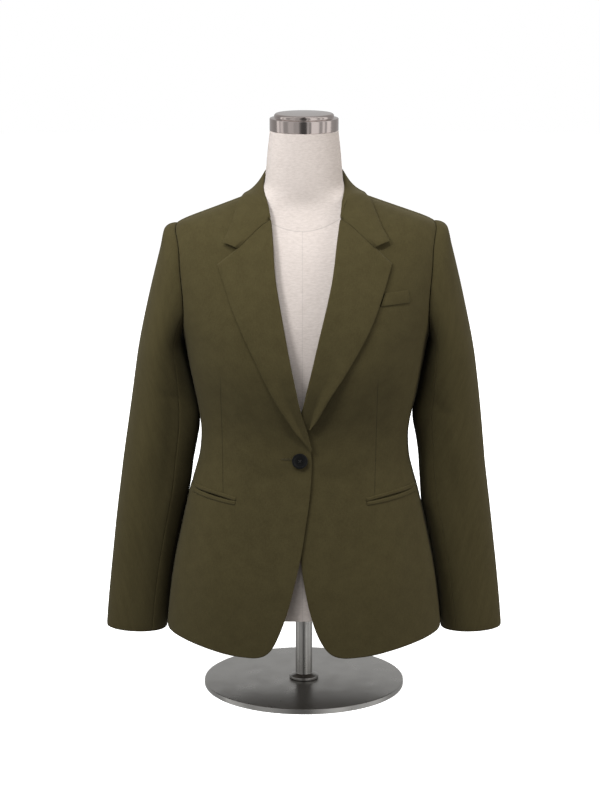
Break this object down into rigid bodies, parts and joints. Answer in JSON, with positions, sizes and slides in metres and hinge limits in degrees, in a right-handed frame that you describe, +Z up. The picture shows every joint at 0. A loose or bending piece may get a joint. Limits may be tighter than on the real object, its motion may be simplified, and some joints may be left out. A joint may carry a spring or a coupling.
{
  "type": "suit jacket on limbless dress form with stand",
  "caption": "Tailored suit jacket with notched lapels and a single button, worn by a limbless dress form with a metal neck cap on a short post and round base plate.",
  "frame": {"origin": "centre of the whole object's bounding box at floor level, under the middle of the base plate", "axes": "+Z up, +Y towards the back, +X towards the wearer's left"},
  "size_m": [0.5952, 0.3, 0.8626],
  "materials": {
    "suiting_cloth": "fine smooth weave, matt with a soft sheen",
    "button": "satin",
    "linen_cover": "plain weave, matt",
    "cap_steel": "brushed round the cap",
    "stand_steel": "brushed"
  },
  "bodies": {
    "root": {"front_left": "suiting_cloth", "front_right": "suiting_cloth", "side_back_left": "suiting_cloth", "side_back_right": "suiting_cloth", "back_left": "suiting_cloth", "back_right": "suiting_cloth", "lapel_left": "suiting_cloth", "lapel_right": "suiting_cloth", "collar": "suiting_cloth", "sleeve_top_left": "suiting_cloth", "sleeve_top_right": "suiting_cloth", "sleeve_under_left": "suiting_cloth", "sleeve_under_right": "suiting_cloth", "hip_welt_upper_left": "suiting_cloth", "hip_welt_upper_right": "suiting_cloth", "hip_welt_lower_left": "suiting_cloth", "hip_welt_lower_right": "suiting_cloth", "breast_welt": "suiting_cloth", "button": "button", "form_body": "linen_cover", "neck_cap": "cap_steel", "stand_post": "stand_steel", "stand_base": "stand_steel"}
  },
  "joints": []
}
